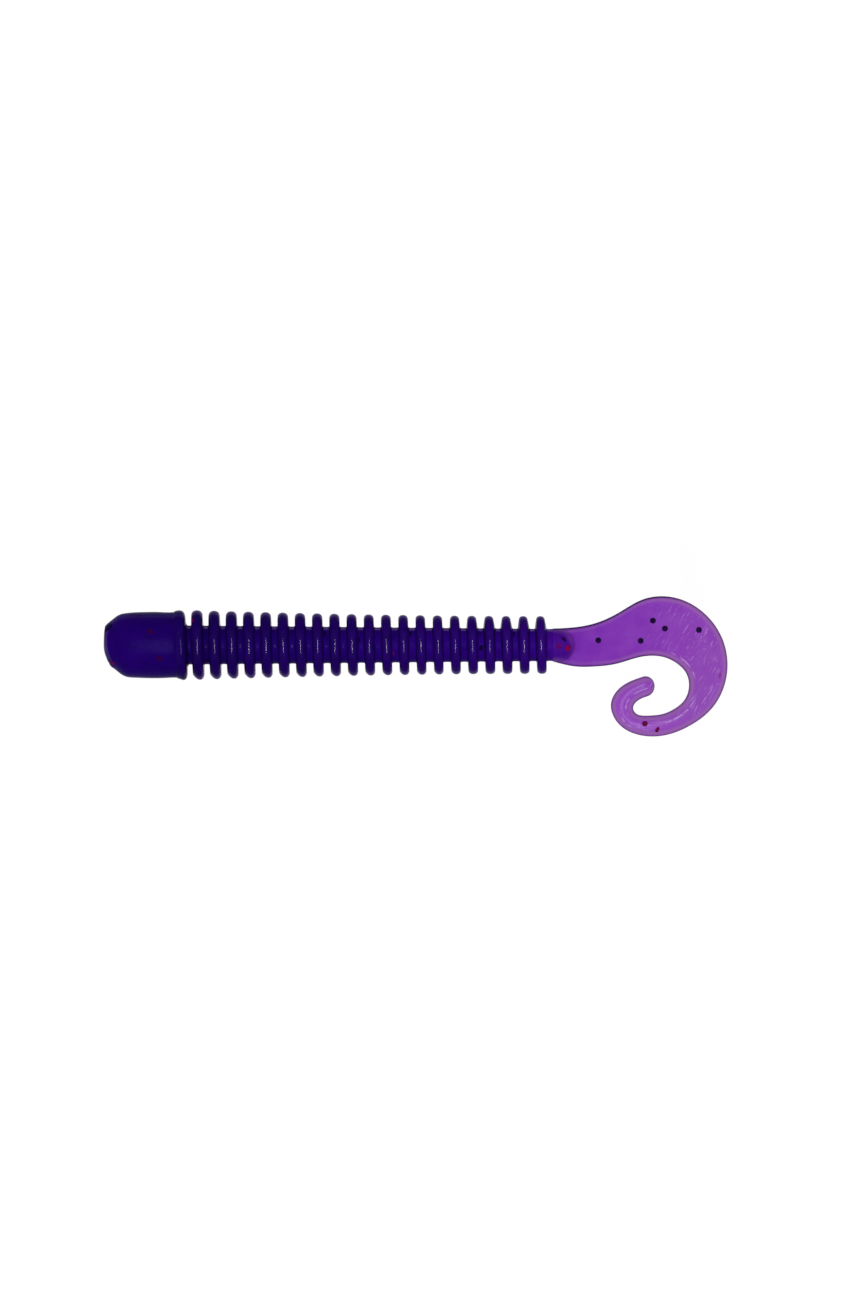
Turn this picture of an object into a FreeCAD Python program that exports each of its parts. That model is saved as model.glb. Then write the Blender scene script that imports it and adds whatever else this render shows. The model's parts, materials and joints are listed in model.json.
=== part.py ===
import FreeCAD, Part
import math
import os

import Sketcher
from FreeCAD import Placement, Rotation, Vector

# Soft plastic worm: a small fishing bait moulded in one shot of soft plastisol.  It has a
# bullet head with a flared collar, a thin core that carries a row of rings, and a flat
# tail that curls back on itself.  Glitter flakes lie in the plastic.
#
# Frame, in millimetres: the origin is the middle of the flat nose face, +X runs along the
# core towards the tail, +Y is the side that the tail's fan rises to, and +Z points out of
# the plane of the flat tail.  The mould's parting plane is z = 0.
#
# The moulding is divided where it flexes: head, rings and tail panels are stiff beside
# the thin webs and necks between them.

RING_COUNT = 21
FLAKE_SIDES = 6

SIZES = {
    # Head and collar
    "head_diameter": 6.70,
    "nose_face_diameter": 2.60,
    "barrel_end": 7.20,
    "collar_end": 8.58,
    "collar_diameter": 7.06,
    "collar_lip_radius": 0.42,
    # Rings and the core between them
    "collar_gap": 0.44,
    "ring_pitch": 1.747,
    "first_ring_diameter": 7.10,
    "last_ring_diameter": 5.90,
    "first_ring_thickness": 1.15,
    "last_ring_thickness": 0.90,
    "ring_taper_power": 1.8,
    "first_core_diameter": 4.07,
    "last_core_diameter": 3.35,
    # Tail
    "last_web_length": 0.75,
    "root_core_length": 0.75,
    "root_dome_length": 1.10,
    "root_edge_inset": 0.12,
    "tail_reach": 17.80,
    "curl_height": 14.20,
    "tail_thickness": 1.20,
    "tail_edge_radius": 0.35,
    # Glitter
    "flake_width": 0.64,
    "flake_thickness": 0.10,
}

# Ribs across the tail, from its root round the curl to the tip, each with the panel that
# starts or goes on there, a point on the outer edge and one on the inner edge.  A point is
# percent of tail_reach along X and percent of curl_height along Y, from the middle of the
# root's front face.
TAIL_RIBS = (
    ("tail_root", (0.0, 11.0), (0.0, -11.0)),
    ("tail_neck", (12.9, 12.8), (12.9, -15.4)),
    ("tail_blade", (23.0, 15.2), (23.0, -15.5)),
    ("tail_blade", (37.8, 23.3), (36.2, -13.5)),
    ("tail_blade", (51.7, 32.8), (50.8, -8.4)),
    ("fan_flex", (70.5, 33.7), (64.7, -9.2)),
    ("tail_bow", (85.6, 23.8), (71.1, -13.4)),
    ("tail_bow", (97.2, 3.6), (76.3, -20.5)),
    ("bow_flex", (99.6, -19.8), (77.8, -28.9)),
    ("tail_arm", (91.8, -44.1), (75.3, -39.2)),
    ("arm_flex", (77.8, -58.2), (69.1, -46.0)),
    ("tail_hook", (64.9, -64.5), (63.1, -49.3)),
    ("tail_hook", (50.8, -64.9), (53.7, -50.6)),
    ("tail_hook", (37.8, -56.8), (47.3, -48.8)),
    ("hook_flex", (33.2, -41.9), (45.9, -44.9)),
    ("tail_tip", (37.7, -31.4), (47.3, -41.3)),
    ("tail_tip", (51.4, -22.7), (54.2, -36.7)),
)
TIP_POINT = (58.1, -28.2)

# The rounding of a tail edge is kept below this share of the tail's thickness.
ROUNDING_LIMIT = 0.45

# Flakes flush with the upper face of each tail panel: percent along, percent across as
# for the ribs, and the turn of the hexagon in degrees.
TAIL_FLAKES = {
    "tail_blade": ((25.9, 3.3, 10), (50.1, 3.0, 35), (57.1, 17.5, 20), (64.0, 11.8, 50)),
    "tail_bow": ((83.4, 10.8, 5), (93.0, -15.5, 40)),
    "tail_hook": ((59.6, -61.0, 25), (52.5, -56.4, 0)),
}

# Flakes in the skin of the head and of the root's core: distance from the front of the
# piece, and the angle round the axis from straight up.
HEAD_FLAKES = ((4.8, 24.0), (5.8, -24.5), (3.6, 62.0))
ROOT_FLAKES = ((0.42, -4.0),)

doc = FreeCAD.newDocument("soft_plastic_worm")
sheet = doc.addObject("Spreadsheet::Sheet", "Sizes")
for row, (alias, value) in enumerate(SIZES.items(), start=1):
    sheet.set(f"A{row}", alias)
    sheet.set(f"B{row}", str(value))
    sheet.setAlias(f"B{row}", alias)
doc.recompute()


def size(alias):
    """A size read back from the sheet."""
    return float(sheet.get(alias))


def cell(alias):
    """The name that an expression uses for a size."""
    return f"Sizes.{alias}"


# ---------------------------------------------------------------- ring and core formulas

def ring_share(number):
    """How far ring `number` stands along the row, from 0 at the head to 1 at the tail."""
    return (number - 1) / (RING_COUNT - 1)


def ring_radius_text(number):
    """Ring radius as an expression: the taper is quick at first and dies out."""
    share_left = 1 - ring_share(number)
    first = cell("first_ring_diameter")
    last = cell("last_ring_diameter")
    power = cell("ring_taper_power")
    return f"({last} + ({first} - {last}) * {share_left} ^ {power}) / 2"


def ring_thickness_text(number):
    """Ring thickness as an expression, in even steps from the first to the last."""
    first = cell("first_ring_thickness")
    last = cell("last_ring_thickness")
    return f"({first} + ({last} - {first}) * {ring_share(number)})"


def ring_place_text(number):
    """X of the middle of a ring, as an expression."""
    first_place = f"{cell('collar_end')} + {cell('collar_gap')} + {cell('first_ring_thickness')} / 2"
    return f"({first_place} + {number - 1} * {cell('ring_pitch')})"


def core_radius_text(number):
    """Radius of the core in front of ring `number`, as an expression."""
    share = (number - 1) / RING_COUNT
    first = cell("first_core_diameter")
    last = cell("last_core_diameter")
    return f"({first} + ({last} - {first}) * {share}) / 2"


def web_start_text(number):
    """X where web `number` starts: the collar, or the back of the ring before it."""
    if number == 1:
        return cell("collar_end")
    before = number - 1
    return f"({ring_place_text(before)} + {ring_thickness_text(before)} / 2)"


def web_end_text(number):
    """X where web `number` ends: the front of its ring, or of the tail root."""
    if number > RING_COUNT:
        return f"({web_start_text(number)} + {cell('last_web_length')})"
    return f"({ring_place_text(number)} - {ring_thickness_text(number)} / 2)"


# ------------------------------------------------------------------- PartDesign helpers

def origin_item(body, role):
    """The plane or axis of a body's own origin that has the given role."""
    return next(item for item in body.Origin.OriginFeatures if item.Role == role)


def new_profile(body):
    """A sketch on the body's own XY plane, for a profile that turns about the X axis."""
    sketch = body.newObject("Sketcher::SketchObject", body.Name + "_profile")
    sketch.AttachmentSupport = [(origin_item(body, "XY_Plane"), "")]
    sketch.MapMode = "FlatFace"
    return sketch


def revolve_profile(body, sketch):
    """Turn the profile once round the X axis."""
    revolution = body.newObject("PartDesign::Revolution", body.Name + "_turned")
    revolution.Profile = sketch
    revolution.ReferenceAxis = (sketch, ["H_Axis"])
    revolution.Angle = 360
    sketch.Visibility = False
    return revolution


def name_last_constraint(sketch, name, expression):
    """Name the constraint just added and bind it to an expression."""
    sketch.renameConstraint(sketch.ConstraintCount - 1, name)
    sketch.setExpression(f"Constraints.{name}", expression)


# ----------------------------------------------------------------------------- head

def make_head_body():
    """Bullet head: flat nose face, ball shoulder, straight barrel and a flared collar."""
    body = doc.addObject("PartDesign::Body", "head_moulding")
    sketch = new_profile(body)
    radius = size("head_diameter") / 2
    face = size("nose_face_diameter") / 2
    shoulder = math.sqrt(radius ** 2 - face ** 2)
    barrel_end = size("barrel_end")
    back = size("collar_end")
    lip = size("collar_lip_radius")
    lip_middle = Vector(back - lip, size("collar_diameter") / 2 - lip, 0)
    lip_top = lip_middle + Vector(0, lip, 0)
    up = Vector(0, 0, 1)
    face_angle = math.pi - math.asin(face / radius)
    nose_circle = Part.Circle(Vector(shoulder, 0, 0), up, radius)
    lip_circle = Part.Circle(lip_middle, up, lip)
    sketch.addGeometry([
        Part.LineSegment(Vector(0, 0, 0), Vector(0, face, 0)),
        Part.ArcOfCircle(nose_circle, math.pi / 2, face_angle),
        Part.LineSegment(Vector(shoulder, radius, 0), Vector(barrel_end, radius, 0)),
        Part.LineSegment(Vector(barrel_end, radius, 0), lip_top),
        Part.ArcOfCircle(lip_circle, 0, math.pi / 2),
        Part.LineSegment(Vector(back, lip_middle.y, 0), Vector(back, 0, 0)),
        Part.LineSegment(Vector(back, 0, 0), Vector(0, 0, 0)),
    ], False)
    face_line, nose, barrel, flare, lip_arc, rear, axis = range(7)
    start, end, middle = 1, 2, 3
    root_point = (-1, 1)
    sketch.addConstraint([
        Sketcher.Constraint("Coincident", face_line, start, *root_point),
        Sketcher.Constraint("Vertical", face_line),
        Sketcher.Constraint("Coincident", face_line, end, nose, end),
        Sketcher.Constraint("PointOnObject", nose, middle, -1),
        Sketcher.Constraint("Tangent", nose, start, barrel, start),
        Sketcher.Constraint("Horizontal", barrel),
        Sketcher.Constraint("Coincident", barrel, end, flare, start),
        Sketcher.Constraint("Tangent", flare, end, lip_arc, end),
        Sketcher.Constraint("Tangent", lip_arc, start, rear, start),
        Sketcher.Constraint("Vertical", rear),
        Sketcher.Constraint("Coincident", rear, end, axis, start),
        Sketcher.Constraint("Coincident", axis, end, face_line, start),
        Sketcher.Constraint("Horizontal", axis),
    ])
    sketch.addConstraint(Sketcher.Constraint("DistanceY", face_line, start, face_line, end, face))
    name_last_constraint(sketch, "nose_face", f"{cell('nose_face_diameter')} / 2")
    sketch.addConstraint(Sketcher.Constraint("Radius", nose, radius))
    name_last_constraint(sketch, "shoulder", f"{cell('head_diameter')} / 2")
    sketch.addConstraint(Sketcher.Constraint("DistanceX", *root_point, barrel, end, barrel_end))
    name_last_constraint(sketch, "barrel_end", cell("barrel_end"))
    sketch.addConstraint(Sketcher.Constraint("DistanceX", *root_point, rear, end, back))
    name_last_constraint(sketch, "collar_end", cell("collar_end"))
    sketch.addConstraint(Sketcher.Constraint("Radius", lip_arc, lip))
    name_last_constraint(sketch, "lip", cell("collar_lip_radius"))
    sketch.addConstraint(Sketcher.Constraint("DistanceY", *root_point, lip_arc, middle, lip_middle.y))
    lip_height = f"{cell('collar_diameter')} / 2 - {cell('collar_lip_radius')}"
    name_last_constraint(sketch, "lip_height", lip_height)
    revolve_profile(body, sketch)
    return body


# ----------------------------------------------------------------------------- flakes

def flake_corner():
    """Distance from a flake's middle to its corners."""
    return size("flake_width") / 2 / math.cos(math.pi / FLAKE_SIDES)


def flake(depth):
    """A hexagonal flake or pocket, centred on the Z axis, with its floor at z = 0."""
    corners = []
    for step in range(FLAKE_SIDES + 1):
        angle = 2 * math.pi * step / FLAKE_SIDES
        corners.append(Vector(math.cos(angle), math.sin(angle), 0) * flake_corner())
    return Part.Face(Part.makePolygon(corners)).extrude(Vector(0, 0, depth))


def skin_place(along, angle, radius):
    """Where a flake lies in a round skin: its top corners just under the surface."""
    sunk = math.sqrt(radius ** 2 - flake_corner() ** 2) - size("flake_thickness")
    tilt = Rotation(Vector(1, 0, 0), -angle)
    return Placement(Vector(along, 0, 0) + tilt.multVec(Vector(0, 0, sunk)), tilt)


def place_shape(shape, placement):
    """A copy of a shape at a placement."""
    moved = shape.copy()
    moved.Placement = placement
    return moved


def round_skin_flakes(spots, radius, depth):
    """Copies of a flake, or of its pocket, at each spot in a round skin."""
    return [place_shape(flake(depth), skin_place(along, angle, radius)) for along, angle in spots]


def flat_flakes(spots, depth):
    """Copies of a flake, or of its pocket, in the upper face of the flat tail."""
    floor = size("tail_thickness") / 2 - size("flake_thickness")
    copies = []
    for along, across, turn in spots:
        place = tail_point((along, across)) + Vector(0, 0, floor)
        copies.append(place_shape(flake(depth), Placement(place, Rotation(turn, 0, 0))))
    return copies


# ------------------------------------------------------------------------ rings and webs

def make_ring(number):
    """One ring: a solid disc with a full round rim, square to the core."""
    body = doc.addObject("PartDesign::Body", f"ring_{number:02d}")
    sketch = new_profile(body)
    half = size("last_ring_thickness") / 2
    rim = size("last_ring_diameter") / 2 - half
    rim_circle = Part.Circle(Vector(0, rim, 0), Vector(0, 0, 1), half)
    sketch.addGeometry([
        Part.LineSegment(Vector(-half, 0, 0), Vector(half, 0, 0)),
        Part.LineSegment(Vector(half, 0, 0), Vector(half, rim, 0)),
        Part.ArcOfCircle(rim_circle, 0, math.pi),
        Part.LineSegment(Vector(-half, rim, 0), Vector(-half, 0, 0)),
    ], False)
    axis, back, rim_arc, front = range(4)
    start, end, middle = 1, 2, 3
    root_point = (-1, 1)
    sketch.addConstraint([
        Sketcher.Constraint("Coincident", axis, end, back, start),
        Sketcher.Constraint("Tangent", back, end, rim_arc, start),
        Sketcher.Constraint("Tangent", rim_arc, end, front, start),
        Sketcher.Constraint("Coincident", front, end, axis, start),
        Sketcher.Constraint("Symmetric", axis, start, axis, end, *root_point),
        Sketcher.Constraint("Horizontal", axis),
        Sketcher.Constraint("Vertical", back),
        Sketcher.Constraint("Vertical", front),
    ])
    sketch.addConstraint(Sketcher.Constraint("DistanceX", axis, start, axis, end, 2 * half))
    name_last_constraint(sketch, "thickness", ring_thickness_text(number))
    sketch.addConstraint(Sketcher.Constraint("DistanceY", *root_point, rim_arc, middle, rim))
    rim_height = f"{ring_radius_text(number)} - {ring_thickness_text(number)} / 2"
    name_last_constraint(sketch, "rim_height", rim_height)
    revolve_profile(body, sketch)
    body.setExpression("Placement.Base.x", ring_place_text(number))
    return body


def make_web(number):
    """The short length of core in front of ring `number`, or in front of the tail root."""
    web = doc.addObject("Part::Cylinder", f"web_{number:02d}")
    web.Placement = Placement(Vector(0, 0, 0), Rotation(Vector(0, 1, 0), 90))
    web.setExpression("Radius", core_radius_text(number))
    web.setExpression("Height", f"{web_end_text(number)} - {web_start_text(number)}")
    web.setExpression("Placement.Base.x", web_start_text(number))
    return web


# ----------------------------------------------------------------------------- tail

def tail_point(share):
    """A point of the tail in millimetres from its root, from shares in percent."""
    along, across = share
    return Vector(along * size("tail_reach") / 100, across * size("curl_height") / 100, 0)


def edge_points(side):
    """The points of the outer (side 1) or inner (side -1) edge, one for each rib.  The
    first lies inside the core's skin, so that the flat tail grows out of the core."""
    inside_core = size("last_core_diameter") / 2 - size("root_edge_inset")
    points = [tail_point(rib[1] if side > 0 else rib[2]) for rib in TAIL_RIBS]
    points[0].y = side * inside_core
    return points


def edge_curve(side):
    """The smooth edge on one side through all ribs, and the parameter at each rib."""
    points = edge_points(side)
    stations = [0.0]
    for before, after in zip(points, points[1:]):
        stations.append(stations[-1] + before.distanceToPoint(after))
    curve = Part.BSplineCurve()
    curve.interpolate(Points=points, Parameters=stations)
    return curve, stations


def panel_ribs(name):
    """The numbers of the ribs where a panel starts and ends: it runs on to the next
    panel's first rib, and the last panel to the last rib."""
    owned = [number for number, rib in enumerate(TAIL_RIBS) if rib[0] == name]
    return owned[0], min(owned[-1] + 1, len(TAIL_RIBS) - 1)


def panel_solid(name):
    """One panel of the flat tail, with rounded edges; the last one ends in the tip."""
    thickness = size("tail_thickness")
    first_rib, last_rib = panel_ribs(name)
    outer, outer_stations = edge_curve(1)
    inner, inner_stations = edge_curve(-1)
    outer.segment(outer_stations[first_rib], outer_stations[last_rib])
    inner.segment(inner_stations[first_rib], inner_stations[last_rib])
    ends = [Part.LineSegment(inner.StartPoint, outer.StartPoint)]
    if last_rib == len(TAIL_RIBS) - 1:
        ends.append(Part.Arc(outer.EndPoint, tail_point(TIP_POINT), inner.EndPoint))
    else:
        ends.append(Part.LineSegment(outer.EndPoint, inner.EndPoint))
    wire = Part.Wire(Part.__sortEdges__([curve.toShape() for curve in [outer, inner] + ends]))
    face = Part.Face(wire)
    face.translate(Vector(0, 0, -thickness / 2))
    solid = face.extrude(Vector(0, 0, thickness))
    long_edges = [edge for edge in solid.Edges if not isinstance(edge.Curve, Part.Line)]
    radius = min(size("tail_edge_radius"), ROUNDING_LIMIT * thickness)
    return solid.makeFillet(radius, long_edges)


def root_core():
    """The end of the core inside the tail root: a short cylinder with a domed end, turned
    about the X axis."""
    radius = size("last_core_diameter") / 2
    length = size("root_core_length")
    dome = size("root_dome_length")
    ball = (radius ** 2 + dome ** 2) / (2 * dome)
    lean = math.asin(radius / ball) / 2
    crown = Vector(length + dome - ball + ball * math.cos(lean), ball * math.sin(lean), 0)
    front = Vector(0, radius, 0)
    shoulder = Vector(length, radius, 0)
    top = Vector(length + dome, 0, 0)
    half_profile = Part.Wire([
        Part.LineSegment(Vector(0, 0, 0), front).toShape(),
        Part.LineSegment(front, shoulder).toShape(),
        Part.Arc(shoulder, crown, top).toShape(),
        Part.LineSegment(top, Vector(0, 0, 0)).toShape(),
    ])
    return Part.Face(half_profile).revolve(Vector(0, 0, 0), Vector(1, 0, 0), 360)


def tail_place():
    """The middle of the tail root's front face, where the last web ends."""
    start = size("collar_end") + size("collar_gap") + size("first_ring_thickness") / 2
    last_ring = start + (RING_COUNT - 1) * size("ring_pitch")
    return Placement(
        Vector(last_ring + size("last_ring_thickness") / 2 + size("last_web_length"), 0, 0),
        Rotation())


def make_feature(name, shape, placement):
    """A sub-part from a finished shape, set down at its place."""
    feature = doc.addObject("Part::Feature", name)
    feature.Shape = shape
    feature.Placement = placement
    return feature


def make_tail_panel(name):
    """One panel of the tail, with pockets for the flakes that lie in it."""
    solid = panel_solid(name)
    pocket_depth = size("flake_width")
    if name == "tail_root":
        solid = solid.fuse(root_core())
        pockets = round_skin_flakes(ROOT_FLAKES, size("last_core_diameter") / 2, pocket_depth)
    else:
        pockets = flat_flakes(TAIL_FLAKES.get(name, ()), pocket_depth)
    for pocket in pockets:
        solid = solid.cut(pocket)
    return make_feature(name, solid, tail_place())


# ------------------------------------------------------------------------------ assembly

def make_head():
    """The head moulding with a pocket for each flake in its skin."""
    moulding = make_head_body()
    radius = size("head_diameter") / 2
    pockets = round_skin_flakes(HEAD_FLAKES, radius, size("flake_width"))
    pocket_group = make_feature("head_flake_pockets", Part.makeCompound(pockets), Placement())
    head = doc.addObject("Part::Cut", "head")
    head.Base = moulding
    head.Tool = pocket_group
    return head


def make_flakes():
    """The glitter flakes, one group for each stiff piece that holds them."""
    depth = size("flake_thickness")
    head_set = round_skin_flakes(HEAD_FLAKES, size("head_diameter") / 2, depth)
    root_set = round_skin_flakes(ROOT_FLAKES, size("last_core_diameter") / 2, depth)
    groups = [make_feature("flakes_head", Part.makeCompound(head_set), Placement())]
    groups.append(make_feature("flakes_root", Part.makeCompound(root_set), tail_place()))
    for panel, spots in TAIL_FLAKES.items():
        name = panel.replace("tail_", "flakes_")
        groups.append(make_feature(name, Part.makeCompound(flat_flakes(spots, depth)), tail_place()))
    return groups


sub_parts = [make_head()]
sub_parts += [make_web(number) for number in range(1, RING_COUNT + 2)]
sub_parts += [make_ring(number) for number in range(1, RING_COUNT + 1)]
sub_parts += [make_tail_panel(name) for name in dict.fromkeys(rib[0] for rib in TAIL_RIBS)]
sub_parts += make_flakes()
doc.recompute()

for item in doc.Objects:
    if "Invalid" in item.State or "Error" in item.State:
        raise RuntimeError(f"{item.Name} failed: {item.State}")
for item in sub_parts:
    if item.Shape.isNull() or not item.Shape.isValid():
        raise RuntimeError(f"{item.Label} has no valid shape")

os.makedirs("parts", exist_ok=True)
for item in sub_parts:
    item.Shape.exportStep(f"parts/{item.Label}.step")
print(len(sub_parts), "sub-parts, volume", round(sum(item.Shape.Volume for item in sub_parts), 1))
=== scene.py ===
import json
import math

import bpy
import numpy as np
from mathutils import Matrix, Vector


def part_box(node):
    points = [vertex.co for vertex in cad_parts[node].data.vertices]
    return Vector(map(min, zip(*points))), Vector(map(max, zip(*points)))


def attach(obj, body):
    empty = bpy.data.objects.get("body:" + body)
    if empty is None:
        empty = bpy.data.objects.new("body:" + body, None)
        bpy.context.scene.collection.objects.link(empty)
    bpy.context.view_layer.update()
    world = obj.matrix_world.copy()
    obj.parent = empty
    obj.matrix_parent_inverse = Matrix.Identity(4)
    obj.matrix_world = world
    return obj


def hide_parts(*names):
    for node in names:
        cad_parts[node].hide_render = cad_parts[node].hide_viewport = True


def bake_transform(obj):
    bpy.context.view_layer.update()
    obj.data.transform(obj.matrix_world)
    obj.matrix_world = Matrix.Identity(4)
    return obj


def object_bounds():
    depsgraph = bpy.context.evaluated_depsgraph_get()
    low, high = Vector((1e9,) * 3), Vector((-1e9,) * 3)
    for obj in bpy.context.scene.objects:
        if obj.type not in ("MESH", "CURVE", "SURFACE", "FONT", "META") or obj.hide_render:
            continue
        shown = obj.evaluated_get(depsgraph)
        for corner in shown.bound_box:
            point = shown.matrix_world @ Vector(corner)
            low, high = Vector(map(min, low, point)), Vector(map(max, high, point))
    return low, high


# Soft plastic worm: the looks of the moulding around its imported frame.  Shapes are worked
# out in millimetres and turned into metres when a mesh is made.

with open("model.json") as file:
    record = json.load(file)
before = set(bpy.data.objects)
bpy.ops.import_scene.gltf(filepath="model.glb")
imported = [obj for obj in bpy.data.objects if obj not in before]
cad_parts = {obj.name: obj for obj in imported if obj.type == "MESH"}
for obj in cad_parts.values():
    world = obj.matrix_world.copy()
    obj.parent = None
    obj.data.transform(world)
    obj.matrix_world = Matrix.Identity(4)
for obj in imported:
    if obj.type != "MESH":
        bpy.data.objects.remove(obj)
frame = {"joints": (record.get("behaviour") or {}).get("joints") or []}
cad_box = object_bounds()

MM = 0.001
RING_COUNT = 21

# ------------------------------------------------------------------ shape of the moulding

# Points round a lathe-turned skin, and across the flat tail from edge to edge.
HEAD_SPOKES = 160
RING_SPOKES = 144
WEB_SPOKES = 112
TAIL_ACROSS = 80
TAIL_STEPS = 16

# The skins lean: a ring's +Y side stands a little nearer to the nose than its -Y side.
RING_LEAN = 0.030
COLLAR_LEAN = 0.042
COLLAR_LEAN_START = 5.0
COLLAR_LEAN_FULL = 7.3

# Head profiles: X and height on the +Y side, X and depth on the -Y side.  The nose is cut
# off at a slant, so its -Y corner lies further back.
NOSE_FACE = (
    (0.01, 0.00, 0.01, 0.00),
    (0.02, 0.50, 0.04, 0.45),
    (0.04, 1.05, 0.14, 0.92),
    (0.07, 1.45, 0.30, 1.36),
    (0.11, 1.70, 0.47, 1.72),
    (0.13, 1.80, 0.56, 1.84),
)
SHOULDER = (
    (0.13, 1.86, 0.58, 1.93),
    (0.18, 1.96, 0.64, 2.05),
    (0.44, 2.23, 0.82, 2.25),
    (0.87, 2.58, 1.07, 2.42),
    (1.27, 2.89, 1.48, 2.75),
    (1.68, 3.12, 1.88, 3.04),
    (2.29, 3.25, 2.40, 3.26),
    (3.00, 3.32, 3.05, 3.33),
    (4.30, 3.36, 4.50, 3.38),
    (5.80, 3.36, 6.10, 3.37),
    (6.85, 3.33, 6.85, 3.33),
    (7.22, 3.35, 7.22, 3.33),
)
COLLAR = (
    (7.30, 3.36, 7.30, 3.34),
    (7.36, 3.42, 7.36, 3.38),
    (7.62, 3.51, 7.62, 3.47),
    (7.88, 3.54, 7.88, 3.56),
    (8.08, 3.50, 8.08, 3.57),
    (8.26, 3.38, 8.26, 3.45),
    (8.39, 3.16, 8.39, 3.20),
    (8.44, 2.86, 8.44, 2.88),
    (8.45, 2.45, 8.45, 2.45),
    (8.50, 2.20, 8.50, 2.20),
    (8.58, 2.06, 8.58, 2.06),
)

NOSE_TOP_RADIUS = 0.06
# Out to the first of these radii the nose face is a little paler than the barrel.
NOSE_FACE_EDGE = (1.7, 2.0)
# The collar's crest rises between the first two of these places and ends between the last.
COLLAR_CREST = (7.4, 7.6, 7.9, 8.2)
# The pale line round the nose, a painted highlight, lies at X = a + b Y + c Y squared, and
# fades out at its ends.
NOSE_LINE = (0.38, -0.115, 0.1065)
NOSE_LINE_WIDTH = 0.06
NOSE_LINE_FADE = (1.5, 1.9)

# Rings: flanks that narrow from the foot to a rounded rim, as shares of the thickness for
# the +Y and the -Y side.  The last rings are wider at the foot and slimmer at the rim.
# The rim's -Y side comes to a blunt point, most on the rings near the head.
RING_FOOT = 0.09
FOOT_SINK = 0.02
FOOT_SHARE = 0.505
FOOT_SHARE_LATE = (0.64, 0.57)
RIM_SHARE = 0.495
RIM_SHARE_LATE = (0.49, 0.54)
RIM_HEIGHT_SHARE = 0.42
RIM_SQUARENESS = 2.15
RIM_SQUARENESS_LATE = 2.2
FLANK_HOLLOW = 1.4
LATE_RINGS = (14, 19)
RIM_POINT = 0.80
RIM_POINT_NARROWNESS = 6
RIM_POINT_SHIFT = 0.15
LAST_POINTED_RING = 16
# Steps of a ring's profile along its foot's fillet, up its flank and round half its rim.
FOOT_STEPS = 4
FLANK_STEPS = 7
RIM_STEPS = 11
WEB_STEPS = 10
WEB_SINK = 0.12
WEB_WAIST = 0.05
# The glint on a web fades out between these webs.
GLINT_WEBS = (6, 14)

# Tail: ribs round the curl as in the solid, each a point on the outer and the inner edge,
# percent of the reach along X and of the curl's height along Y.
TAIL_REACH = 17.80
CURL_HEIGHT = 14.20
TAIL_RIBS = (
    ((0.0, 11.8), (0.0, -11.8)),
    ((12.9, 12.8), (12.9, -15.4)),
    ((23.0, 15.2), (23.0, -15.5)),
    ((37.8, 23.3), (36.2, -13.5)),
    ((51.7, 32.8), (50.8, -8.4)),
    ((70.5, 33.7), (64.7, -9.2)),
    ((85.6, 23.8), (71.1, -13.4)),
    ((97.2, 3.6), (76.3, -20.5)),
    ((99.6, -19.8), (77.8, -28.9)),
    ((91.8, -44.1), (75.3, -39.2)),
    ((77.8, -58.2), (69.1, -46.0)),
    ((64.9, -64.5), (63.1, -49.3)),
    ((50.8, -64.9), (53.7, -50.6)),
    ((37.8, -56.8), (47.3, -48.8)),
    ((33.2, -41.9), (45.9, -44.9)),
    ((37.7, -31.4), (47.3, -41.3)),
    ((51.4, -22.7), (54.2, -36.7)),
)
TIP_LENGTH = 0.97
TIP_STEPS = 14
TIP_TAPER = 0.9
# The round tip stops at this share of its full width and height, so that no face is empty.
TIP_LEAST = 0.02

# Cross-sections: a plate with a raised bead inside its rounded edges where the tail is
# wide, and a rod where it is narrow.
EDGE_ROUNDING = 0.42
BEAD_HEIGHT = 0.53
BEAD_PLACE = 0.45
BEAD_WIDTH = 0.24
PLATE_HEIGHT = 0.50
ROD_HEIGHT = 0.62
# From edge to middle a rod's height is (1 - (1 - share) ** first) ** second.
ROD_ROUNDNESS = (2.4, 0.45)
ROD_WIDTH = 2.3
PLATE_WIDTH = 3.4

# The root: a short length of core that ends in a dome and eases into the flat tail.  It
# reaches to the third rib, and its front stays inside the core's circle.
ROOT_RIBS = 3
ROOT_FRONT_RIBS = 0.55
ROOT_EASE = 0.22
ROOT_CORE_LENGTH = 0.75
ROOT_DOME_LENGTH = 1.55
CORE_FADE_LENGTH = 1.25
CORE_END_SLANT = 0.22

# Tail skins: name, first and last rib, the bodies before and after its joint, and the nodes
# that it stands for.
TAIL_SKINS = (
    ("tail_root_skin", 0.0, 3.5, "tail_root", "tail_blade", ("tail_root", "tail_neck")),
    ("tail_fan_skin", 3.5, 6.6, "tail_blade", "tail_bow", ("tail_blade", "fan_flex")),
    ("tail_bow_skin", 6.6, 9.5, "tail_bow", "tail_arm", ("tail_bow", "bow_flex")),
    ("tail_arm_skin", 9.5, 12.5, "tail_arm", "tail_hook", ("tail_arm", "arm_flex")),
    ("tail_tip_skin", 12.5, 16.0, "tail_hook", "tail_tip",
     ("tail_hook", "hook_flex", "tail_tip")),
)
# Streaks of painted highlight along the tail: first and last rib, distance from the inner
# edge, width.
HIGHLIGHT_STREAKS = (
    (5.4, 7.6, 0.68, 0.06),
    (8.9, 10.8, 0.92, 0.06),
    (11.8, 12.3, 1.00, 0.06),
    (12.6, 13.3, 1.45, 0.07),
    (13.4, 15.0, 0.76, 0.06),
    (15.4, 16.2, 0.78, 0.06),
)
# For each tail skin: millimetres before and after the joint, and degrees that its line is
# turned from the tail's own line.  Only the turn is read, and no skin is bent along it.
TAIL_BENDS = (
    (1.5, 1.5, 0),
    (1.5, 1.5, 0),
    (1.7, 1.8, 9),
    (1.2, 2.2, 0),
    (1.0, 1.7, 16),
)
# Skins set apart from the rest in bend(), which bakes them the same way.
TURNED_BLENDS = ("web_skin_19", "tail_arm_skin")


# --------------------------------------------------------------------------- mesh helpers

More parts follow.
